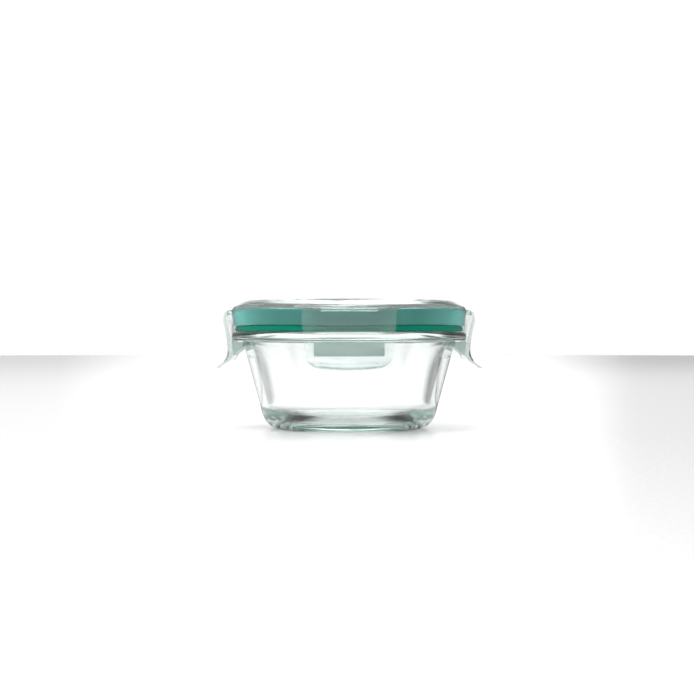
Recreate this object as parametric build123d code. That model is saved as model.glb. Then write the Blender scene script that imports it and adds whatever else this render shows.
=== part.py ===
from build123d import *

import os
from math import atan2, cos, degrees, hypot, radians, sin, tan

# Round glass food container with a clear lid held by four hinged latches. Millimetres, +Z up.
# The origin is the centre of the foot, on the surface that the bowl stands on. The latches lie on the
# X and Y axes; the front one faces -Y. Every latch is drawn on the +X side and then turned about Z.

# ---------------------------------------------------------------- driving dimensions
RIM_R = 58.5                # widest radius of the glass rim
RIM_TOP_Z = 48.0
RIM_BOTTOM_Z = 43.7
WALL_R_UNDER_RIM = 53.0     # outer wall where it meets the underside of the rim
WALL_DRAFT = 14.9           # degrees from vertical
WALL = 3.0                  # glass thickness, square to the wall
FLOOR_Z = 5.2               # top of the glass floor
FOOT_CORNER_R = 9.5
INNER_CORNER_R = 9.0
FOOT_RECESS_R = 30.0        # shallow hollow under the floor
FOOT_RECESS = 0.7
FOOT_RECESS_RUN = 3.0       # width of the soft step down to the foot

LID_TOP_Z = 63.4            # stacking ring
RING_OUT_R = 50.5
RING_IN_R = 47.4
PANEL_TOP_Z = 61.6          # recessed centre panel
PANEL = 1.8                 # its thickness
SKIRT_BOTTOM_Z = 50.9
SKIRT_BOTTOM_R = 57.4
SKIRT_TOP_Z = 58.2
SKIRT_TOP_R = 58.6
SKIRT = 1.15                # skirt wall
PLUG_R = 49.9               # ring that reaches down into the bowl
PLUG = 1.7
PLUG_BOTTOM_Z = 46.2

SEAL_GAP = 0.12             # air around the seal in its groove
SEAL_BOTTOM_Z = RIM_TOP_Z + 0.15
SEAL_BEAD_R = 56.6          # the bead that shows between the skirt and the rim

LATCH_HALF = 22.1           # half width at the top
LATCH_HALF_LOW = 20.6       # half width where the lower corners start
LATCH_TOP_Z = 58.3
LATCH_TIP_Z = 30.0
LATCH_CORNER_R = 9.0
CATCH_HALF = 16.3           # half width of the catch under the rim
CATCH_R = 54.4
CATCH_TOP_Z = 43.0
CATCH_NOSE = 2.6            # height of its nose
CATCH_FOOT = (58.4, 36.9)   # where its sloping underside runs out on the flap

HINGE_HALF = 13.0           # half width of the living hinge
HINGE_T = 0.5               # its thickness
INNER_CREASE = (58.95, 58.35)   # x, z of the crease at the lid
OUTER_CREASE = (60.25, 57.45)   # x, z of the crease at the latch
CREASE_GAP = 0.06           # keeps the rigid halves of a crease apart

SIDES = {"right": 0, "back": 90, "left": 180, "front": 270}   # degrees about Z

# Flap sections from the top down: height, inner and outer distance at mid width, and how far the
# side edges are bowed back towards the bowl.
FLAP_SECTIONS = [
    (LATCH_TOP_Z, 59.45, 60.25, 0.05),
    (56.2, 59.50, 60.75, 0.15),
    (54.0, 60.15, 61.45, 0.45),
    (50.5, 59.95, 61.35, 1.05),
    (46.0, 59.25, 60.85, 1.85),
    (41.5, 58.80, 60.45, 2.60),
    (38.0, 58.75, 60.45, 3.10),
    (35.6, 59.30, 61.10, 3.30),
    (33.4, 60.60, 62.40, 3.30),
    (31.5, 62.60, 64.40, 3.10),
    (LATCH_TIP_Z, 64.60, 66.10, 2.80),
]
SECTION_HALF = 24.0         # the sections are cut wider than the flap


def write(shape, node):
    """Writes one node's solid to its own STEP file."""
    export_step(shape, f"parts/{node}.step")


def wall_r(z):
    """Outer radius of the glass wall at height z."""
    return WALL_R_UNDER_RIM - (RIM_BOTTOM_Z - z) * tan(radians(WALL_DRAFT))


def corner(flat_z, radius, wall_at):
    """Arc that joins a level line at flat_z to the sloping wall: start, middle and end, as (r, z)."""
    lean = radians(WALL_DRAFT)
    tangent = radius * tan(radians(90 - WALL_DRAFT) / 2)
    r_sharp = wall_at(flat_z)
    centre = (r_sharp - tangent, flat_z + radius)
    end = (r_sharp + tangent * sin(lean), flat_z + tangent * cos(lean))
    half_turn = atan2(end[1] - centre[1], end[0] - centre[0])
    middle_angle = (half_turn - radians(90)) / 2
    middle = (centre[0] + radius * cos(middle_angle), centre[1] + radius * sin(middle_angle))
    return (centre[0], flat_z), middle, end


def revolved(wires):
    """Solid of revolution about Z of a closed outline drawn as x = radius, y = height."""
    face = make_face([Plane.XZ * w for w in wires])
    return revolve(face, Axis.Z, 360)


def glass_bowl():
    """Pressed glass: tapered wall, thick floor, shallow foot recess and a rounded flanged rim."""
    slant = WALL / cos(radians(WALL_DRAFT))
    foot_start, foot_mid, foot_end = corner(0, FOOT_CORNER_R, wall_r)
    in_start, in_mid, in_end = corner(FLOOR_Z, INNER_CORNER_R, lambda z: wall_r(z) - slant)
    bulb = 1.9                                    # rounding of the rim's lower outer edge
    crown = 2.4                                   # width of the rim's fuller upper rounding
    neck = 0.8                                    # fillet between the wall and the rim
    lip = 0.9                                     # rounding of the rim's inner edge
    inner_top_r = wall_r(RIM_TOP_Z) - slant
    outline = [
        Line((0, FOOT_RECESS), (FOOT_RECESS_R - FOOT_RECESS_RUN, FOOT_RECESS)),
        Spline(
            (FOOT_RECESS_R - FOOT_RECESS_RUN, FOOT_RECESS), (FOOT_RECESS_R, 0), tangents=[(1, 0), (1, 0)]
        ),
        Line((FOOT_RECESS_R, 0), foot_start),
        ThreePointArc(foot_start, foot_mid, foot_end),
        Line(foot_end, (wall_r(RIM_BOTTOM_Z - neck), RIM_BOTTOM_Z - neck)),
        Spline(
            (wall_r(RIM_BOTTOM_Z - neck), RIM_BOTTOM_Z - neck),
            (WALL_R_UNDER_RIM + neck, RIM_BOTTOM_Z),
            tangents=[(sin(radians(WALL_DRAFT)), cos(radians(WALL_DRAFT))), (1, 0)],
        ),
        Line((WALL_R_UNDER_RIM + neck, RIM_BOTTOM_Z), (RIM_R - bulb, RIM_BOTTOM_Z)),
        RadiusArc((RIM_R - bulb, RIM_BOTTOM_Z), (RIM_R, RIM_BOTTOM_Z + bulb), -bulb),
        Spline(
            (RIM_R, RIM_BOTTOM_Z + bulb), (RIM_R - crown, RIM_TOP_Z), tangents=[(0, 1), (-1, 0)]
        ),
        Line((RIM_R - crown, RIM_TOP_Z), (inner_top_r + lip, RIM_TOP_Z)),
        Spline(
            (inner_top_r + lip, RIM_TOP_Z),
            (wall_r(RIM_TOP_Z - lip) - slant, RIM_TOP_Z - lip),
            tangents=[(-1, 0), (-sin(radians(WALL_DRAFT)), -cos(radians(WALL_DRAFT)))],
        ),
        Line((wall_r(RIM_TOP_Z - lip) - slant, RIM_TOP_Z - lip), in_end),
        ThreePointArc(in_end, in_mid, in_start),
        Line(in_start, (0, FLOOR_Z)),
        Line((0, FLOOR_Z), (0, FOOT_RECESS)),
    ]
    return revolved(outline)


def skirt_r(z):
    """Outer radius of the lid's flared skirt at height z."""
    share = (z - SKIRT_BOTTOM_Z) / (SKIRT_TOP_Z - SKIRT_BOTTOM_Z)
    return SKIRT_BOTTOM_R + share * (SKIRT_TOP_R - SKIRT_BOTTOM_R)


GROOVE_OUT_Z = 58.5
GROOVE_OUT = (skirt_r(GROOVE_OUT_Z) - SKIRT, GROOVE_OUT_Z)      # groove roof at the skirt
GROOVE_IN = (PLUG_R, 60.5)                                      # groove roof at the plug


def lid_shell():
    """Clear lid: recessed panel, stacking ring, rounded shoulder, flared skirt and plug ring."""
    shoulder_r = 57.7                             # crease between the skirt's top edge and the shoulder
    shoulder_z = 60.3
    under_z = PANEL_TOP_Z - PANEL
    edge = 0.35                                   # rounding of the skirt's and the plug's lower edges
    plug_in_r = PLUG_R - PLUG
    ring_run = 2.2                                # width of the ring's soft inner slope
    fillet = 1.5                                  # between the plug and the panel
    outline = [
        Line((0, PANEL_TOP_Z), (RING_IN_R - ring_run, PANEL_TOP_Z)),
        Spline(
            (RING_IN_R - ring_run, PANEL_TOP_Z), (RING_IN_R, LID_TOP_Z), tangents=[(1, 0), (1, 0)]
        ),
        Line((RING_IN_R, LID_TOP_Z), (RING_OUT_R, LID_TOP_Z)),
        Spline(
            (RING_OUT_R, LID_TOP_Z), (shoulder_r, shoulder_z), tangents=[(1, 0), (0.55, -1)]
        ),
        Spline(
            (shoulder_r, shoulder_z), (SKIRT_TOP_R, SKIRT_TOP_Z), tangents=[(0.9, -0.6), (-0.16, -1)]
        ),
        Line((SKIRT_TOP_R, SKIRT_TOP_Z), (skirt_r(SKIRT_BOTTOM_Z + edge), SKIRT_BOTTOM_Z + edge)),
        Line(
            (skirt_r(SKIRT_BOTTOM_Z + edge), SKIRT_BOTTOM_Z + edge),
            (SKIRT_BOTTOM_R - edge, SKIRT_BOTTOM_Z),
        ),
        Line((SKIRT_BOTTOM_R - edge, SKIRT_BOTTOM_Z), (SKIRT_BOTTOM_R - SKIRT, SKIRT_BOTTOM_Z)),
        Line((SKIRT_BOTTOM_R - SKIRT, SKIRT_BOTTOM_Z), GROOVE_OUT),
        Line(GROOVE_OUT, GROOVE_IN),
        Line(GROOVE_IN, (PLUG_R, PLUG_BOTTOM_Z + edge)),
        Line((PLUG_R, PLUG_BOTTOM_Z + edge), (PLUG_R - edge, PLUG_BOTTOM_Z)),
        Line((PLUG_R - edge, PLUG_BOTTOM_Z), (plug_in_r + edge, PLUG_BOTTOM_Z)),
        Line((plug_in_r + edge, PLUG_BOTTOM_Z), (plug_in_r, PLUG_BOTTOM_Z + edge)),
        Line((plug_in_r, PLUG_BOTTOM_Z + edge), (plug_in_r, under_z - fillet)),
        Spline(
            (plug_in_r, under_z - fillet), (plug_in_r - fillet, under_z), tangents=[(0, 1), (-1, 0)]
        ),
        Line((plug_in_r - fillet, under_z), (0, under_z)),
        Line((0, under_z), (0, PANEL_TOP_Z)),
    ]
    shell = revolved(outline)
    # A thin straight land at each latch carries the inner crease of its living hinge.
    land_inner_x = 55.5
    land_outer_x = INNER_CREASE[0] - HINGE_T / 2 - CREASE_GAP
    land = Pos((land_inner_x + land_outer_x) / 2, 0, INNER_CREASE[1]) * Box(
        land_outer_x - land_inner_x, 2 * HINGE_HALF, HINGE_T
    )
    # It ends inside the skirt's wall, clear of the seal.
    land = land - Pos(0, 0, INNER_CREASE[1]) * Cylinder(SKIRT_TOP_R - SKIRT / 2, 8 * HINGE_T)
    for angle in SIDES.values():
        shell = shell + Rot(0, 0, angle) * land
    return shell


def seal_gasket():
    """Silicone ring in the lid's groove. Its lower bead sits on the rim; a thin lip wipes the bowl."""
    bead_top_z = SKIRT_BOTTOM_Z - 0.15            # just under the skirt's edge
    inside_r = PLUG_R + SEAL_GAP
    top_out = (GROOVE_OUT[0] - SEAL_GAP, GROOVE_OUT[1] - SEAL_GAP - 0.15)
    bead_bottom_r = SKIRT_BOTTOM_R - SKIRT - SEAL_GAP - 0.5
    top_in = (inside_r, GROOVE_IN[1] - SEAL_GAP)
    neck_r = SKIRT_BOTTOM_R - SKIRT - SEAL_GAP
    lip_r = inside_r + 0.75                       # the wiping lip's root
    lip_z = RIM_TOP_Z - 1.1                       # and its lower edge, inside the bowl
    lip_draft = 0.15
    step = 0.1
    step_run = 1.2
    outline = [
        Line(top_in, top_out),
        Line(top_out, (neck_r, bead_top_z)),
        Spline(
            (neck_r, bead_top_z),
            (SEAL_BEAD_R, (bead_top_z + SEAL_BOTTOM_Z) / 2),
            (bead_bottom_r, SEAL_BOTTOM_Z),
            tangents=[(1, -0.3), (-1, -0.15)],
        ),
        Line((bead_bottom_r, SEAL_BOTTOM_Z), (lip_r + step_run, SEAL_BOTTOM_Z)),
        Line((lip_r + step_run, SEAL_BOTTOM_Z), (lip_r, SEAL_BOTTOM_Z - step)),
        Line((lip_r, SEAL_BOTTOM_Z - step), (lip_r - lip_draft, lip_z)),
        Line((lip_r - lip_draft, lip_z), (inside_r, lip_z)),
        Line((inside_r, lip_z), top_in),
    ]
    return revolved(outline)


def bowed_section(z, near_x, far_x, bow, straight_back=False):
    """Level slice of a flap: two bowed long edges, or a straight one on the bowl's side."""
    half = SECTION_HALF
    back_edge_x = near_x if straight_back else near_x - bow
    near_start, near_end = (back_edge_x, -half, z), (back_edge_x, half, z)
    far_start, far_end = (far_x - bow, -half, z), (far_x - bow, half, z)
    if straight_back:
        back = Line(near_start, near_end)
    else:
        back = ThreePointArc(near_start, (near_x, 0, z), near_end)
    return make_face(
        [
            back,
            Line(near_end, far_end),
            ThreePointArc(far_end, (far_x, 0, z), far_start),
            Line(far_start, near_start),
        ]
    )


def latch():
    """Flap and catch as one moulding, on the +X side."""
    flap = loft([bowed_section(*s) for s in FLAP_SECTIONS])
    backing_in = 45.0                             # inner limit of the catch blank
    backing_skin = 0.5                            # how far the blank stays inside the flap's face
    backing = loft(
        [
            bowed_section(z, backing_in, far - backing_skin, bow, straight_back=True)
            for z, _, far, bow in FLAP_SECTIONS
            if CATCH_FOOT[1] - 4 < z < CATCH_TOP_Z + 8
        ]
    )
    # The front outline: slightly tapered sides, round lower corners and a bowed lower edge.
    mid_z = 39.5                                  # where the lower corners start
    low_r = 130.0                                 # bow of the lower edge
    low_half = 12.5                               # its half length
    low_z = LATCH_TIP_Z + 0.6                     # height of its ends
    outline = make_face(
        [
            Line((-LATCH_HALF, LATCH_TOP_Z), (LATCH_HALF, LATCH_TOP_Z)),
            Line((LATCH_HALF, LATCH_TOP_Z), (LATCH_HALF_LOW, mid_z)),
            RadiusArc((LATCH_HALF_LOW, mid_z), (low_half, low_z), LATCH_CORNER_R),
            RadiusArc((low_half, low_z), (-low_half, low_z), low_r),
            RadiusArc((-low_half, low_z), (-LATCH_HALF_LOW, mid_z), LATCH_CORNER_R),
            Line((-LATCH_HALF_LOW, mid_z), (-LATCH_HALF, LATCH_TOP_Z)),
        ]
    )
    blank_from, blank_to = 40.0, 70.0             # x range that takes in the whole latch
    flap = flap & extrude(Plane.YZ.offset(blank_from) * outline, blank_to - blank_from)
    ring = revolved(
        [
            Polyline(
                (CATCH_R, CATCH_TOP_Z),
                (CATCH_R, CATCH_TOP_Z - CATCH_NOSE),
                CATCH_FOOT,
                (blank_to, CATCH_FOOT[1]),
                (blank_to, CATCH_TOP_Z),
                (CATCH_R, CATCH_TOP_Z),
            )
        ]
    )
    # Its two ends are cut square.
    catch_z = (CATCH_TOP_Z + CATCH_FOOT[1]) / 2
    slab = Pos((blank_from + blank_to) / 2, 0, catch_z) * Box(blank_to - blank_from, 2 * CATCH_HALF, 20)
    catch = ring & slab & backing
    # The hinge takes the middle of the top edge, so the flap's ears stand up on both sides of it.
    crease_top = OUTER_CREASE[1] - HINGE_T / 2 - CREASE_GAP
    notch_height = 4
    notch_depth = 6
    notch_half = HINGE_HALF + 0.6
    notch = Pos(OUTER_CREASE[0], 0, crease_top + notch_height / 2) * Box(
        notch_depth, 2 * notch_half, notch_height
    )
    return (flap - notch) + catch


def hinge_web():
    """Thin strip between the two creases of a living hinge, with a round edge at each crease."""
    run_x, run_z = OUTER_CREASE[0] - INNER_CREASE[0], OUTER_CREASE[1] - INNER_CREASE[1]
    strip = SlotCenterToCenter(hypot(run_x, run_z), HINGE_T, rotation=degrees(atan2(run_z, run_x)))
    centre = ((INNER_CREASE[0] + OUTER_CREASE[0]) / 2, (INNER_CREASE[1] + OUTER_CREASE[1]) / 2)
    return extrude(Plane.XZ * Pos(*centre) * strip, HINGE_HALF, both=True)


def main():
    os.makedirs("parts", exist_ok=True)
    write(glass_bowl(), "glass_bowl")
    write(lid_shell(), "lid_shell")
    write(seal_gasket(), "seal_gasket")
    one_latch = latch()
    one_web = hinge_web()
    for side, angle in SIDES.items():
        write(Rot(0, 0, angle) * one_latch, f"latch_{side}")
        write(Rot(0, 0, angle) * one_web, f"hinge_web_{side}")


main()
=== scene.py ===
"""Looks of the glass food container: glass bowl, clear lid with a frosted skirt, teal seal, hinged latches.

Everything is in metres in the CAD frame: +Z up, origin under the middle of the foot. Outlines are
written in millimetres, as (radius, height) corners with a rounding radius, and scaled by MM. Names that
end in _Z are heights, and in _R radii.
"""

from math import atan2, copysign, cos, hypot, pi, radians, sin, sqrt, tan

import bmesh
import bpy
from mathutils import Matrix, Vector


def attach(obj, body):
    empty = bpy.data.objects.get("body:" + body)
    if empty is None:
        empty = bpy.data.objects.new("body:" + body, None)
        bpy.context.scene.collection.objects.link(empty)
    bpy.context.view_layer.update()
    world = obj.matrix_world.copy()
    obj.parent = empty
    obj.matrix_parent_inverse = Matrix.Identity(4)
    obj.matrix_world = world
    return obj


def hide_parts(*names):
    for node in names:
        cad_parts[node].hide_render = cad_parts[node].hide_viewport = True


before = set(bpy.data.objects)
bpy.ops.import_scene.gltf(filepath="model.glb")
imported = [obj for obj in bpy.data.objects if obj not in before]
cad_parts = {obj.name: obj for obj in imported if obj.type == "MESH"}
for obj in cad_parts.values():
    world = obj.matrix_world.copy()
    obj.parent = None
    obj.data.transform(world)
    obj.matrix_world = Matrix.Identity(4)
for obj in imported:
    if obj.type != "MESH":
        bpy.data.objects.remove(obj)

MM = 0.001
TURNS = {"right": 0, "back": 90, "left": 180, "front": 270}   # degrees about Z
LATHE_STEPS = 288
ARC_STEP = radians(9)       # longest turn of one facet of a rounded corner
MERGE = 1e-7                # points closer than this, in metres, become one

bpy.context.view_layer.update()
scene = bpy.context.scene


# ---------------------------------------------------------------- mesh helpers
def rounded(corners):
    """Points of an outline whose corners (x, y, radius) are replaced by arcs. The ends stay sharp."""
    points = []
    last = len(corners) - 1
    for i, (x, y, radius) in enumerate(corners):
        if i in (0, last) or radius == 0:
            points.append((x, y))
            continue
        here = Vector((x, y))
        back = (Vector(corners[i - 1][:2]) - here).normalized()
        on = (Vector(corners[i + 1][:2]) - here).normalized()
        half = back.angle(on) / 2
        reach = radius / tan(half)
        centre = here + (back + on).normalized() * (radius / sin(half))
        start, end = here + back * reach - centre, here + on * reach - centre
        turn = pi - 2 * half
        steps = max(2, int(turn / ARC_STEP) + 1)
        side = 1 if start.x * end.y - start.y * end.x > 0 else -1
        for k in range(steps + 1):
            a = side * turn * k / steps
            arc_x = centre.x + start.x * cos(a) - start.y * sin(a)
            arc_y = centre.y + start.x * sin(a) + start.y * cos(a)
            points.append((arc_x, arc_y))
    return points


def densified(points, longest):
    """The same outline with no side longer than longest."""
    out = [points[0]]
    for a, b in zip(points, points[1:]):
        n = max(1, int(hypot(b[0] - a[0], b[1] - a[1]) / longest + 0.999))
        out += [(a[0] + (b[0] - a[0]) * k / n, a[1] + (b[1] - a[1]) * k / n) for k in range(1, n + 1)]
    return out


def clamped(share):
    """A share held between 0 and 1."""
    return max(0.0, min(1.0, share))


def mesh_object(name, verts, faces):
    """A new smooth-shaded mesh object with outward normals."""
    mesh = bpy.data.meshes.new(name)
    mesh.from_pydata([Vector(v) * MM for v in verts], [], faces)
    bm = bmesh.new()
    bm.from_mesh(mesh)
    bmesh.ops.remove_doubles(bm, verts=bm.verts, dist=MERGE)
    bmesh.ops.recalc_face_normals(bm, faces=bm.faces)
    for face in bm.faces:
        face.smooth = True
    bm.to_mesh(mesh)
    bm.free()
    obj = bpy.data.objects.new(name, mesh)
    scene.collection.objects.link(obj)
    return obj


def lathe(name, outline, closed):
    """Solid of revolution about Z. An open outline starts and ends on the axis."""
    loop = outline + [outline[0]] if closed else outline
    verts, faces = [], []
    rings = []
    for r, z in loop:
        if r < 1e-6:
            rings.append([len(verts)] * LATHE_STEPS)
            verts.append((0, 0, z))
            continue
        rings.append(list(range(len(verts), len(verts) + LATHE_STEPS)))
        for k in range(LATHE_STEPS):
            a = 2 * pi * k / LATHE_STEPS
            verts.append((r * cos(a), r * sin(a), z))
    for low, high in zip(rings, rings[1:]):
        for k in range(LATHE_STEPS):
            n = (k + 1) % LATHE_STEPS
            quad = [low[k], low[n], high[n], high[k]]
            face = [v for i, v in enumerate(quad) if v not in quad[:i]]
            if len(face) > 2:
                faces.append(face)
    return mesh_object(name, verts, faces)


def bridged(name, sections):
    """A closed bar through a row of sections, each with the same number of points."""
    count = len(sections[0])
    verts = [point for section in sections for point in section]
    faces = []
    for start in range(0, len(verts) - count, count):
        for j in range(count):
            n = (j + 1) % count
            faces.append([start + j, start + n, start + count + n, start + count + j])
    last = len(verts) - count
    faces += [list(range(count)), [last + j for j in reversed(range(count))]]
    return mesh_object(name, verts, faces)


def evenly(half, steps):
    """Evenly spaced places from -half to half."""
    return [-half + 2 * half * k / steps for k in range(steps + 1)]


def smooth_by_angle(obj, degrees):
    """Edges sharper than an angle stay sharp and the rest shade smoothly."""
    mesh = obj.data
    mesh.polygons.foreach_set("use_smooth", [True] * len(mesh.polygons))
    bm = bmesh.new()
    bm.from_mesh(mesh)
    for edge in bm.edges:
        edge.smooth = len(edge.link_faces) == 2 and edge.calc_face_angle(0) < radians(degrees)
    bm.to_mesh(mesh)
    bm.free()


def round_edges(obj, width, degrees):
    """Rounds every edge sharper than an angle."""
    bm = bmesh.new()
    bm.from_mesh(obj.data)
    sharp = [e for e in bm.edges if len(e.link_faces) == 2 and e.calc_face_angle(0) > radians(degrees)]
    bmesh.ops.bevel(
        bm, geom=sharp, offset=width, segments=3, profile=0.5, affect="EDGES", clamp_overlap=True
    )
    bmesh.ops.remove_doubles(bm, verts=bm.verts, dist=MERGE)
    bmesh.ops.recalc_face_normals(bm, faces=bm.faces)
    bm.to_mesh(obj.data)
    bm.free()


def turned(mesh, degrees):
    """Turns a mesh made on the +X side to another side of the container."""
    mesh.transform(Matrix.Rotation(radians(degrees), 4, "Z"))


def place(obj, node, body, slot, *materials):
    """Gives a piece its materials and the body that carries it, and hides the CAD node it stands for. Its
    slot is not used.
    """
    for m in materials:
        obj.data.materials.append(m)
    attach(obj, body)
    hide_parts(node)
    return obj


# ---------------------------------------------------------------- materials
def new_material(name, **values):
    """A Principled material. Returns the material, its nodes, its links and the shader."""
    mat = bpy.data.materials.new(name)
    mat.use_nodes = True
    nodes, links = mat.node_tree.nodes, mat.node_tree.links
    shader = nodes["Principled BSDF"]
    for key, value in values.items():
        shader.inputs[key.replace("_", " ")].default_value = value
    return mat, nodes, links, shader


def noise(nodes, links, coord, scale, detail=3.0, rough=0.55, stretch=(1, 1, 1)):
    """Noise texture in the object's own coordinates, with scale in features per metre."""
    mapping = nodes.new("ShaderNodeMapping")
    mapping.inputs["Scale"].default_value = stretch
    links.new(coord, mapping.inputs["Vector"])
    tex = nodes.new("ShaderNodeTexNoise")
    tex.inputs["Scale"].default_value = scale
    tex.inputs["Detail"].default_value = detail
    tex.inputs["Roughness"].default_value = rough
    links.new(mapping.outputs["Vector"], tex.inputs["Vector"])
    return tex.outputs["Fac"]


def spread(nodes, links, fac, low, high, start=0.3, end=0.7):
    """Maps a factor that runs from start to end to values from low to high."""
    ramp = nodes.new("ShaderNodeMapRange")
    ramp.inputs["From Min"].default_value = start
    ramp.inputs["From Max"].default_value = end
    ramp.inputs["To Min"].default_value = low
    ramp.inputs["To Max"].default_value = high
    links.new(fac, ramp.inputs["Value"])
    return ramp.outputs["Result"]


def tint(nodes, links, fac, low, high):
    """Mixes two colours by a factor."""
    mix = nodes.new("ShaderNodeMix")
    mix.data_type = "RGBA"
    mix.inputs["A"].default_value = (*low, 1)
    mix.inputs["B"].default_value = (*high, 1)
    links.new(fac, mix.inputs["Factor"])
    return mix.outputs["Result"]


def add_bump(nodes, links, shader, height, strength, distance):
    """Bump from a height, with distance in metres."""
    bump = nodes.new("ShaderNodeBump")
    bump.inputs["Strength"].default_value = strength
    bump.inputs["Distance"].default_value = distance
    links.new(height, bump.inputs["Height"])
    links.new(bump.outputs["Normal"], shader.inputs["Normal"])


def object_coord(nodes):
    """The object's own coordinates."""
    return nodes.new("ShaderNodeTexCoord").outputs["Object"]


def add_absorption(nodes, links, colour, density):
    """Colour that deepens with the thickness of the material."""
    volume = nodes.new("ShaderNodeVolumeAbsorption")
    volume.inputs["Color"].default_value = (*colour, 1)
    volume.inputs["Density"].default_value = density
    links.new(volume.outputs["Volume"], nodes["Material Output"].inputs["Volume"])


def bowl_glass():
    """Clear pressed glass: faint waviness, a little haze from washing, green in its thickness."""
    mat, nodes, links, shader = new_material("bowl_glass", Transmission_Weight=1.0, IOR=1.5)
    coord = object_coord(nodes)
    haze = noise(nodes, links, coord, 60, 5)
    links.new(spread(nodes, links, haze, 0.0, 0.035), shader.inputs["Roughness"])
    colour = tint(nodes, links, haze, (0.975, 0.992, 0.985), (0.99, 0.998, 0.995))
    links.new(colour, shader.inputs["Base Color"])
    wave = noise(nodes, links, coord, 28, 1, 0.4, (1, 1, 0.5))
    add_bump(nodes, links, shader, wave, 0.12, 0.0004)
    add_absorption(nodes, links, (0.60, 0.86, 0.78), 9.0)
    return mat


def clear_plastic(name, low, high, rough, transmission, absorb, density, ior=1.46):
    """Clear moulded polypropylene with fine scuffs and flow marks. It varies between two colours and
    between two roughnesses, and absorb is what its thickness lets through."""
    mat, nodes, links, shader = new_material(name, Transmission_Weight=transmission, IOR=ior)
    coord = object_coord(nodes)
    cloud = noise(nodes, links, coord, 45, 4)
    scuff = noise(nodes, links, coord, 900, 6, 0.7, (1, 1, 0.35))
    links.new(tint(nodes, links, cloud, low, high), shader.inputs["Base Color"])
    mixed = nodes.new("ShaderNodeMath")
    mixed.operation = "MULTIPLY_ADD"
    mixed.inputs[1].default_value = 0.35
    links.new(scuff, mixed.inputs[0])
    links.new(cloud, mixed.inputs[2])
    wear = mixed.outputs[0]
    links.new(spread(nodes, links, wear, *rough, 0.45, 0.95), shader.inputs["Roughness"])
    add_bump(nodes, links, shader, wear, 0.10, 0.0003)
    add_absorption(nodes, links, absorb, density)
    return mat


def frosted_skirt():
    """The lid's skirt: the same plastic with a fine etched surface that blurs the seal behind it."""
    mat, nodes, links, shader = new_material("lid_skirt_frosted", Transmission_Weight=0.85, IOR=1.36)
    coord = object_coord(nodes)
    grain = noise(nodes, links, coord, 2600, 4, 0.7)
    cloud = noise(nodes, links, coord, 40, 3)
    links.new(tint(nodes, links, cloud, (0.25, 0.96, 0.88), (0.32, 1.0, 0.94)), shader.inputs["Base Color"])
    links.new(spread(nodes, links, grain, 0.26, 0.38), shader.inputs["Roughness"])
    add_bump(nodes, links, shader, grain, 0.25, 0.00006)
    add_absorption(nodes, links, (0.75, 0.92, 0.88), 14.0)
    return mat


def seal_silicone():
    """Teal silicone: satin and soft-looking, with a fine matt grain and slightly uneven colour."""
    mat, nodes, links, shader = new_material(
        "seal_silicone", IOR=1.22, Subsurface_Weight=0.1, Subsurface_Scale=0.0015
    )
    coord = object_coord(nodes)
    grain = noise(nodes, links, coord, 1800, 5, 0.65)
    cloud = noise(nodes, links, coord, 50, 3)
    colour = tint(nodes, links, cloud, (0.0, 0.205, 0.125), (0.001, 0.27, 0.175))
    links.new(colour, shader.inputs["Base Color"])
    links.new(spread(nodes, links, grain, 0.36, 0.55), shader.inputs["Roughness"])
    add_bump(nodes, links, shader, grain, 0.2, 0.00005)
    return mat


# ---------------------------------------------------------------- bowl
FLOOR_Z = 5.2
WALL_DRAFT = radians(14.9)
WALL_R_UNDER_RIM = 53.0
RIM_BOTTOM_Z, RIM_TOP_Z, RIM_R = 43.7, 48.0, 58.5
GLASS = 3.0 / cos(WALL_DRAFT)           # thickness of the wall, measured level


def wall_r(z):
    """Outer radius of the glass wall."""
    return WALL_R_UNDER_RIM - (RIM_BOTTOM_Z - z) * tan(WALL_DRAFT)


def build_bowl(material):
    """Pressed glass bowl: shallow foot recess, tapered wall, rounded rim and a thick floor."""
    corners = [
        (0, 0.7, 0),
        (28.2, 0.7, 3.0),
        (30.0, 0.0, 1.0),
        (wall_r(0), 0.0, 9.5),
        (wall_r(RIM_BOTTOM_Z), RIM_BOTTOM_Z, 0.9),
        (RIM_R, RIM_BOTTOM_Z, 1.85),
        (RIM_R, RIM_TOP_Z, 2.3),
        (wall_r(RIM_TOP_Z) - GLASS, RIM_TOP_Z, 0.9),
        (wall_r(FLOOR_Z) - GLASS, FLOOR_Z, 9.0),
        (0, FLOOR_Z, 0),
    ]
    outline = densified(rounded(corners), 3.0)
    return place(lathe("bowl", outline, False), "glass_bowl", "bowl", "bowl_glass", material)


# ---------------------------------------------------------------- lid
SKIRT_LOW_Z, SKIRT_HIGH_Z = 51.2, 58.4  # the frosted band
SKIRT_IN_R = 57.2                       # only what lies outside this radius is frosted
SEAL_LOW_Z = 48.15
LID_WAVE = 0.4                          # how far the lid's edge is pulled down at each latch
WAVE_START_R, WAVE_RUN = 51.6, 5.6      # where the wave begins, and how much further out it is full
WAVE_RISE = 2.6                         # height above the seal's foot where it is full
LAND_LOW_Z, LAND_HIGH_Z = 58.1, 58.6
LAND_FACE_X = 58.64
LAND_ROOT_R = 58.35
HINGE_HALF = 13.0


def pull_down(obj):
    """The latches pull the lid's edge down a little where they are, so the edge waves gently. The seal's
    foot stays level."""
    for v in obj.data.vertices:
        outward = (hypot(v.co.x, v.co.y) / MM - WAVE_START_R) / WAVE_RUN
        upward = (v.co.z / MM - SEAL_LOW_Z) / WAVE_RISE
        share = clamped(outward) * clamped(upward)
        v.co.z -= LID_WAVE * MM * share * cos(4 * atan2(v.co.y, v.co.x))


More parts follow.
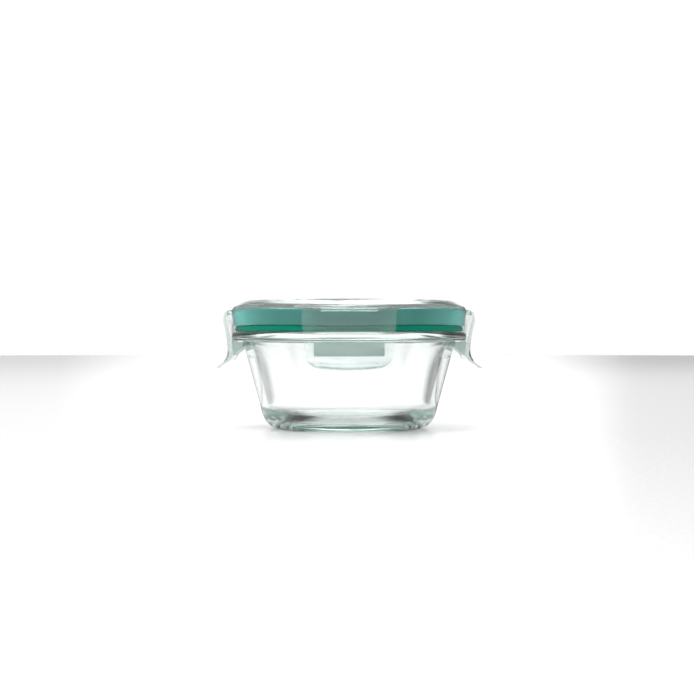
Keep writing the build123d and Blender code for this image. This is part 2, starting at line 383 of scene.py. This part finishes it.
def build_lid(clear, frosted):
    """Lid shell: sunk panel, stacking ring, rounded shoulder, frosted skirt, groove and plug ring."""
    corners = [
        (0, 61.6, 0),
        (45.9, 61.6, 0.5),
        (46.9, 63.4, 0.8),
        (51.6, 63.4, 5.0),
        (57.55, 60.6, 0.35),
        (58.64, 58.9, 0.7),
        (57.4, 50.9, 0.3),
        (56.25, 50.9, 0.3),
        (57.5, 58.5, 0.4),
        (49.9, 60.5, 0.4),
        (49.9, 46.2, 0.4),
        (48.2, 46.2, 0.4),
        (48.2, 59.8, 1.4),
        (0, 59.8, 0),
    ]
    outline = densified(rounded(corners), 2.5)
    lid = lathe("lid", outline, False)
    pull_down(lid)
    place(lid, "lid_shell", "lid", "lid_plastic", clear, frosted)
    for face in lid.data.polygons:
        c = face.center / MM
        on_skirt = SKIRT_LOW_Z < c.z < SKIRT_HIGH_Z and face.normal.xy.dot(face.center.xy) > 0
        if on_skirt and hypot(c.x, c.y) > SKIRT_IN_R:
            face.material_index = 1
    return lid


def build_lands(material):
    """Small straight ledges on the lid, one at each latch, where the living hinges start."""
    for side, degrees in TURNS.items():
        sections = []
        for y in evenly(HINGE_HALF, 24):
            root = sqrt(LAND_ROOT_R**2 - y * y)
            sections.append(
                [
                    (root, y, LAND_LOW_Z),
                    (LAND_FACE_X, y, LAND_LOW_Z),
                    (LAND_FACE_X, y, LAND_HIGH_Z),
                    (root, y, LAND_HIGH_Z),
                ]
            )
        land = bridged(f"lid_land_{side}", sections)
        smooth_by_angle(land, 40)
        turned(land.data, degrees)
        land.data.materials.append(material)
        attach(land, "lid")


# ---------------------------------------------------------------- seal
def build_seal(material):
    """The seal: it fills the groove behind the skirt, and its bead shows below the skirt."""
    outline = rounded(
        [
            (53.7, 59.28, 0),
            (57.38, 58.25, 0.5),
            (56.13, 50.75, 0.12),
            (56.95, 50.55, 0.35),
            (56.75, SEAL_LOW_Z, 0.9),
            (51.9, SEAL_LOW_Z, 0.3),
            (50.75, 48.0, 0.15),
            (50.6, 46.9, 0.2),
            (50.02, 46.9, 0.2),
            (50.02, 60.30, 0.4),
            (53.7, 59.28, 0),
        ]
    )
    seal = lathe("seal", densified(outline[:-1], 2.5), True)
    pull_down(seal)
    return place(seal, "seal_gasket", "lid", "seal_silicone", material)


# ---------------------------------------------------------------- latches, made on the +X side
FLAP_TOP_Z, FLAP_LOW_Z = 58.3, 30.0
# Mid-width section of the flap from the top down: height, inner x, outer x, and how far the side edges
# are bowed back at SECTION_HALF from the middle.
FLAP = [
    (FLAP_TOP_Z, 59.45, 60.25, 0.05),
    (56.20, 59.50, 60.75, 0.15),
    (54.00, 60.15, 61.45, 0.45),
    (50.50, 59.95, 61.35, 1.05),
    (46.00, 59.25, 60.85, 1.85),
    (41.50, 58.80, 60.45, 2.60),
    (38.00, 58.75, 60.45, 3.10),
    (35.60, 59.30, 61.10, 3.30),
    (33.40, 60.60, 62.40, 3.30),
    (31.50, 62.60, 64.40, 3.10),
    (FLAP_LOW_Z, 64.60, 66.10, 2.80),
]
SECTION_HALF = 24.0
LATCH_HALF, LATCH_HALF_LOW = 22.1, 20.6     # half width at the top, and where the lower corners start
CORNER_START_Z = 39.5
CORNER_REACH = 8.6          # how far the lower corners turn in
TOP_CORNER_R = 0.9
TOP_BAND_Z = 55.5           # the notch for the hinge changes the flap's shape above this height
CREASE_TOP_Z = 57.14        # the notch's lower edge
NOTCH_GAP, NOTCH_RAMP = 0.2, 0.5    # from the hinge's end to the notch's side, and that side's width
LIP_Z = 36.0                # the flap flares outward below this height
LIP_BOW_R = 130.0           # bow of the lip's lower edge, seen from outside
TIP_BAND = 0.45             # height of the edge faces along the tip
CROWDING = 0.35             # how much closer the flap's columns stand near its side edges
CATCH_HALF = 16.3
CATCH_TOP_Z, CATCH_R, CATCH_NOSE = 43.0, 54.4, 2.6     # level top, inner radius and height of the nose
CATCH_FOOT_R, CATCH_FOOT_Z = 59.3, 36.35
CATCH_MIDDLE_Z = 39.95      # halfway up the catch, where it meets the flap
CATCH_ROOT = 0.1            # how far the catch reaches into the flap
CREASE_IN, CREASE_OUT = (58.95, 58.35), (60.25, 57.45)      # the web's two creases, as x and z
WEB_THICK = 0.5
WEB_MARGIN = 0.24           # how far the web reaches past its creases


def flap_at(row):
    """Smooth interpolation of the flap's section: row runs from 0 at the top to len(FLAP) - 1."""
    i = min(int(row), len(FLAP) - 2)
    t = row - i
    nearby = [FLAP[max(0, min(len(FLAP) - 1, i + k))] for k in (-1, 0, 1, 2)]
    out = []
    for a, b, c, d in zip(*nearby):
        curve = (2 * a - 5 * b + 4 * c - d) * t * t + (3 * b - a - 3 * c + d) * t**3
        out.append(0.5 * (2 * b + (c - a) * t + curve))
    return out


def flap_back(z, y):
    """The flap's face on the bowl's side, at height z and distance y from its middle."""
    for (z1, near1, _, bow1), (z2, near2, _, bow2) in zip(FLAP, FLAP[1:]):
        if z1 >= z >= z2:
            t = (z1 - z) / (z1 - z2)
            return near1 + (near2 - near1) * t - (bow1 + (bow2 - bow1) * t) * (y / SECTION_HALF) ** 2
    return FLAP[-1][1]


def half_width(z):
    """Half width of the flap's front outline at height z: tapered sides, then a round lower corner."""
    if z > CORNER_START_Z:
        share = (FLAP_TOP_Z - z) / (FLAP_TOP_Z - CORNER_START_Z)
        return LATCH_HALF + share * (LATCH_HALF_LOW - LATCH_HALF)
    drop = (CORNER_START_Z - z) / (CORNER_START_Z - FLAP_LOW_Z)
    return LATCH_HALF_LOW - CORNER_REACH * (1 - sqrt(max(0.0, 1 - drop**2)))


def top_edge(y):
    """Height of the flap's top edge: a notch for the hinge, and small round outer corners."""
    y = abs(y)
    past = y - LATCH_HALF + TOP_CORNER_R
    if past > 0:
        return FLAP_TOP_Z - TOP_CORNER_R + sqrt(max(0.0, TOP_CORNER_R**2 - past**2))
    share = clamped((y - HINGE_HALF - NOTCH_GAP) / NOTCH_RAMP)
    return CREASE_TOP_Z + (FLAP_TOP_Z - CREASE_TOP_Z) * share * share * (3 - 2 * share)


def build_flap():
    """The latch's flap as a closed curved plate with rounded edges."""
    columns, rows = 96, 84
    verts, faces = [], []
    grid = {}
    for side in (0, 1):
        for i in range(rows + 1):
            z, near, far, bow = flap_at((len(FLAP) - 1) * i / rows)
            half = half_width(z)
            flare = max(0.0, (LIP_Z - z) / (LIP_Z - FLAP_LOW_Z))
            fade = max(0.0, (z - TOP_BAND_Z) / (FLAP_TOP_Z - TOP_BAND_Z))
            for j in range(columns + 1):
                u = -1 + 2 * j / columns
                y = half * (sin(u * pi / 2) * CROWDING + u * (1 - CROWDING))
                sag = bow * (y / SECTION_HALF) ** 2
                lift = (y * y / (2 * LIP_BOW_R)) * flare**2
                grid[side, i, j] = len(verts)
                verts.append(((near, far)[side] - sag, y, z + lift + (top_edge(y) - FLAP_TOP_Z) * fade))
    for i in range(rows):
        for j in range(columns):
            cell = ((i, j), (i, j + 1), (i + 1, j + 1), (i + 1, j))
            faces.append([grid[0, m, n] for m, n in cell])
            faces.append([grid[1, m, n] for m, n in reversed(cell)])
    rim = [(0, j) for j in range(columns)] + [(i, columns) for i in range(rows)]
    rim += [(rows, j) for j in range(columns, 0, -1)] + [(i, 0) for i in range(rows, 0, -1)]
    for (i, j), (m, n) in zip(rim, rim[1:] + rim[:1]):
        faces.append([grid[0, i, j], grid[1, i, j], grid[1, m, n], grid[0, m, n]])
    flap = mesh_object("flap", verts, faces)
    round_edges(flap, 0.6 * MM, 55)
    return flap


def build_catch():
    """The catch that hooks under the rim: a wedge that follows the bowl, cut straight at its two ends."""
    outline = rounded(
        [
            (CATCH_FOOT_R, CATCH_TOP_Z, 0),
            (CATCH_R, CATCH_TOP_Z, 0.35),
            (CATCH_R, CATCH_TOP_Z - CATCH_NOSE, 0.6),
            (CATCH_FOOT_R, CATCH_FOOT_Z, 0),
        ]
    )
    sections = []
    for y in evenly(CATCH_HALF, 40):
        section = []
        for radius, z in outline:
            x = min(sqrt(radius**2 - y * y), flap_back(z, y) + CATCH_ROOT)
            section.append((x, y, z))
        section.append((flap_back(CATCH_MIDDLE_Z, y) + CATCH_ROOT, y, CATCH_MIDDLE_Z))
        sections.append(section)
    return bridged("catch", sections)


def is_edge(face):
    """Whether a face of the latch lies on the narrow edge all round the flap."""
    _, y, z = face.center / MM
    on_tip = z < FLAP_LOW_Z + TIP_BAND + y * y / (2 * LIP_BOW_R)
    steepest = 0.75 if z > LIP_Z else 0.5
    return on_tip or abs(face.normal.x) < steepest


def build_latches(material, catch_material, edge_material):
    """One flap and one catch, made once and turned to each side."""
    flap, catch = build_flap(), build_catch()
    for face in flap.data.polygons:
        face.material_index = 1 if is_edge(face) else 0
    for side, degrees in TURNS.items():
        for piece, name, materials in (
            (flap, f"latch_flap_{side}", (material, edge_material)),
            (catch, f"latch_catch_{side}", (catch_material,)),
        ):
            mesh = piece.data.copy()
            turned(mesh, degrees)
            copy = bpy.data.objects.new(name, mesh)
            scene.collection.objects.link(copy)
            smooth_by_angle(copy, 35)
            place(copy, f"latch_{side}", f"latch_{side}", "latch_plastic", *materials)
    bpy.data.objects.remove(flap)
    bpy.data.objects.remove(catch)


def web_section():
    """Section of a living-hinge strip, a flattened oval along the line between its two creases."""
    steps = 20
    run = hypot(CREASE_OUT[0] - CREASE_IN[0], CREASE_OUT[1] - CREASE_IN[1])
    along = ((CREASE_OUT[0] - CREASE_IN[0]) / run, (CREASE_OUT[1] - CREASE_IN[1]) / run)
    mid_x, mid_z = (CREASE_IN[0] + CREASE_OUT[0]) / 2, (CREASE_IN[1] + CREASE_OUT[1]) / 2
    section = []
    for k in range(steps):
        s, t = cos(2 * pi * k / steps), sin(2 * pi * k / steps)
        length = (run / 2 + WEB_MARGIN) * copysign(abs(s) ** 0.6, s)
        height = WEB_THICK / 2 * copysign(abs(t) ** 0.7, t)
        section.append(
            (mid_x + along[0] * length - along[1] * height, mid_z + along[1] * length + along[0] * height)
        )
    return section


def build_webs(material):
    """Living-hinge strips: thin at both creases and a little thicker between them."""
    section = web_section()
    for side, degrees in TURNS.items():
        web = bridged(f"web_{side}", [[(x, y, z) for x, z in section] for y in evenly(HINGE_HALF, 26)])
        smooth_by_angle(web, 50)
        turned(web.data, degrees)
        place(web, f"hinge_web_{side}", "lid", "latch_plastic", material)


# ---------------------------------------------------------------- studio, in metres
FLAG_RISE = (0.13, 0.19)        # slopes from the nearer axis between which the flags appear
FLAG_FALL = (0.30, 0.38)        # and between which they get paler
FLAG_DEPTH = 0.95
FLAG_LEFT = 0.7                 # strength of the flags on the left, against 1 on the right
FLAG_BLEND = 0.05               # the strength changes within this distance of the middle
WALL_MIDDLE, TABLE_MIDDLE = 0.7, 0.15   # strength of the flags on the diagonals, in the studio and in the shade painted on the table
FOOT_R = 0.044                  # on the table the edges of the painted flag shade spread from a bowl of this radius
SHADE_START = (0.055, 0.10)     # distances between which the painted shade on the table appears
SHADE_END = (0.6, 1.2)          # and between which it fades
COVER_END = (0.040, 0.046)      # distances between which the painted shadow under the foot ends
POOL_X, POOL_Y = 0.024, 0.050   # half sizes of the painted pool of light under the bowl, which glows
POOL_EDGE = (0.85, 1.1)         # its soft edge, in those half sizes
# how brightly the painted pool of light glows, though the table is no lamp
PAINTED_POOL_GLOW = 0.2
# the table's own white, and the colour of the shade painted on it
WHITE, PAINTED_SHADE_COLOUR = (0.95, 0.95, 0.95), (0.03, 0.03, 0.03)
TABLE_R = 3.0
CAMERA_X, CAMERA_Z, CAMERA_AWAY = -0.001, 0.0457, 0.75
CAMERA_DROP = 10.5 / 1500       # the camera looks down by this slope


def separate(nodes, links, vector):
    """The three parts of a vector."""
    split = nodes.new("ShaderNodeSeparateXYZ")
    links.new(vector, split.inputs[0])
    return split.outputs


def formula(nodes, links, operation, a, b=None):
    """One step of arithmetic on sockets or numbers."""
    node = nodes.new("ShaderNodeMath")
    node.operation = operation
    for i, value in enumerate((a, b)):
        if isinstance(value, (int, float)):
            node.inputs[i].default_value = value
        elif value is not None:
            links.new(value, node.inputs[i])
    return node.outputs[0]


def unseen_by_camera(nodes, links, value):
    """The value for every ray except the camera's own, for which it is 0."""
    direct = nodes.new("ShaderNodeLightPath").outputs["Is Camera Ray"]
    return formula(nodes, links, "MULTIPLY", value, formula(nodes, links, "SUBTRACT", 1.0, direct))


def length_of(nodes, links, x, y):
    """Length of the vector (x, y)."""
    across = formula(nodes, links, "MULTIPLY", x, x)
    total = formula(nodes, links, "ADD", across, formula(nodes, links, "MULTIPLY", y, y))
    return formula(nodes, links, "SQRT", total)


def flags(nodes, links, x, y, edge, middle):
    """How much of a grey flag stands towards (x, y); on the table the same share is painted as shade. The
    slope is taken from a line that runs along the nearer axis, edge away from it. There is none beside the
    axes, full strength at the flags' near sides, middle on the diagonals, and more on +X."""
    across = formula(nodes, links, "ABSOLUTE", x)
    along = formula(nodes, links, "ABSOLUTE", y)
    less = formula(nodes, links, "SUBTRACT", formula(nodes, links, "MINIMUM", across, along), edge)
    more = formula(nodes, links, "MAXIMUM", formula(nodes, links, "MAXIMUM", across, along), 0.001)
    slope = formula(nodes, links, "DIVIDE", less, more)
    rise = spread(nodes, links, slope, 0.0, 1.0, *FLAG_RISE)
    flag = formula(nodes, links, "MULTIPLY", rise, spread(nodes, links, slope, 1.0, middle, *FLAG_FALL))
    strength = spread(nodes, links, x, FLAG_LEFT, 1.0, -FLAG_BLEND, FLAG_BLEND)
    return formula(nodes, links, "MULTIPLY", flag, strength)


def build_floor():
    """A large white table top with painted shade and painted light. The flags' shade is painted on it
    beyond the bowl, and under the bowl it is painted dark except for an oval painted pool of light that
    glows. For the camera's own rays its colour is white, so the painted dark parts show only through the
    glass, but its gloss still mirrors the studio's flags near the horizon."""
    steps = 64
    rim = [2 * pi * k / steps for k in range(steps)]
    verts = [(0, 0, 0)] + [(TABLE_R / MM * cos(a), TABLE_R / MM * sin(a), 0) for a in rim]
    faces = [[0, 1 + k, 1 + (k + 1) % steps] for k in range(steps)]
    floor = mesh_object("floor", verts, faces)
    mat, nodes, links, shader = new_material("floor_white_painted_shade", IOR=1.35)
    coord = object_coord(nodes)
    grain = noise(nodes, links, coord, 500, 4)
    links.new(spread(nodes, links, grain, 0.20, 0.24), shader.inputs["Roughness"])
    x, y, _ = separate(nodes, links, coord)
    distance = length_of(nodes, links, x, y)
    # the flags' shade, painted on the table beyond the bowl
    flag = flags(nodes, links, x, y, FOOT_R, TABLE_MIDDLE)
    beyond = spread(nodes, links, distance, 0.0, 1.0, *SHADE_START)
    near = spread(nodes, links, distance, 1.0, 0.0, *SHADE_END)
    painted_shade = formula(nodes, links, "MULTIPLY", formula(nodes, links, "MULTIPLY", flag, beyond), near)
    narrow = formula(nodes, links, "DIVIDE", x, POOL_X)
    deep = formula(nodes, links, "DIVIDE", y, POOL_Y)
    pool = length_of(nodes, links, narrow, deep)
    # painted shadow: the table is painted dark under the foot, except in the pool of light
    covered = spread(nodes, links, distance, 1.0, 0.0, *COVER_END)
    painted_contact_shadow = formula(nodes, links, "MULTIPLY", covered, spread(nodes, links, pool, 0.0, 1.0, *POOL_EDGE))
    painted_shade = unseen_by_camera(nodes, links, formula(nodes, links, "MAXIMUM", painted_shade, painted_contact_shadow))
    links.new(tint(nodes, links, painted_shade, WHITE, PAINTED_SHADE_COLOUR), shader.inputs["Base Color"])
    # the painted pool of light: the table glows there, though it is no lamp
    shader.inputs["Emission Color"].default_value = (1.0, 1.0, 1.0, 1)
    painted_glow = spread(nodes, links, pool, PAINTED_POOL_GLOW, 0.0, *POOL_EDGE)
    links.new(painted_glow, shader.inputs["Emission Strength"])
    floor.data.materials.append(mat)


def build_world():
    """White studio, brighter overhead, with soft grey flags low down on both sides of every axis. The
    camera's own rays don't see the flags."""
    world = bpy.data.worlds.new("studio")
    scene.world = world
    world.use_nodes = True
    nodes, links = world.node_tree.nodes, world.node_tree.links
    background = nodes["Background"]
    x, y, z = separate(nodes, links, nodes.new("ShaderNodeTexCoord").outputs["Generated"])
    low = unseen_by_camera(nodes, links, spread(nodes, links, z, 1.0, 0.0, 0.45, 0.7))
    dark = formula(nodes, links, "MULTIPLY", flags(nodes, links, x, y, 0.0, WALL_MIDDLE), low)
    base = spread(nodes, links, z, 1.0, 1.5, 0.35, 0.9)
    kept = formula(nodes, links, "SUBTRACT", 1.0, formula(nodes, links, "MULTIPLY", dark, FLAG_DEPTH))
    links.new(formula(nodes, links, "MULTIPLY", base, kept), background.inputs["Strength"])
    background.inputs["Color"].default_value = (1, 1, 1, 1)


def build_lights():
    """One broad softbox above and a little to the left, and a weaker one behind."""
    aim = Vector((0, 0, 0.04))
    for name, position, size, power in (
        ("key_softbox", (-0.5, -0.5, 1.3), 0.9, 9.0),
        ("back_softbox", (0.4, 0.9, 1.2), 0.8, 5.0),
    ):
        lamp = bpy.data.lights.new(name, "AREA")
        lamp.size = size
        lamp.energy = power
        obj = bpy.data.objects.new(name, lamp)
        obj.location = position
        obj.rotation_euler = (aim - obj.location).to_track_quat("-Z", "Y").to_euler()
        scene.collection.objects.link(obj)


def build_camera():
    """Level with the rim, from the front, as far away as a tabletop product shot."""
    eye = Vector((CAMERA_X, -CAMERA_AWAY, CAMERA_Z))
    aim = Vector((CAMERA_X, 0.0, CAMERA_Z - CAMERA_AWAY * CAMERA_DROP))
    data = bpy.data.cameras.new("camera")
    data.sensor_width = 36
    data.lens = 77.8
    data.clip_start = 0.02
    data.clip_end = 20
    camera = bpy.data.objects.new("camera", data)
    camera.location = eye
    camera.rotation_euler = (aim - eye).to_track_quat("-Z", "Y").to_euler()
    scene.collection.objects.link(camera)
    scene.camera = camera


def main():
    """Builds every piece, then the studio."""
    glass = bowl_glass()
    clear = clear_plastic(
        "lid_clear",
        low=(0.95, 0.99, 0.98),
        high=(0.98, 1.0, 0.995),
        rough=(0.02, 0.08),
        transmission=0.98,
        absorb=(0.7, 0.9, 0.85),
        density=10.0,
    )
    milky = clear_plastic(
        "latch_clear",
        low=(0.93, 0.985, 0.975),
        high=(0.97, 1.0, 0.995),
        rough=(0.03, 0.12),
        transmission=0.975,
        absorb=(0.72, 0.84, 0.81),
        density=24.0,
        ior=1.38,
    )
    catch = clear_plastic(
        "latch_catch",
        low=(0.74, 0.92, 0.86),
        high=(0.82, 0.95, 0.91),
        rough=(0.30, 0.50),
        transmission=0.25,
        absorb=(0.6, 0.88, 0.82),
        density=8.0,
        ior=1.3,
    )
    build_bowl(glass)
    build_lid(clear, frosted_skirt())
    build_lands(clear)
    build_seal(seal_silicone())
    edge = clear_plastic(
        "latch_edge",
        low=(0.88, 0.97, 0.95),
        high=(0.94, 1.0, 0.99),
        rough=(0.25, 0.45),
        transmission=0.25,
        absorb=(0.6, 0.88, 0.82),
        density=10.0,
        ior=1.3,
    )
    build_latches(milky, catch, edge)
    build_webs(milky)
    build_floor()
    build_world()
    build_lights()
    build_camera()
    scene.view_settings.view_transform = "Standard"
    scene.cycles.max_bounces = 24
    scene.cycles.transmission_bounces = 20
    scene.cycles.glossy_bounces = 20
    scene.cycles.transparent_max_bounces = 16


main()
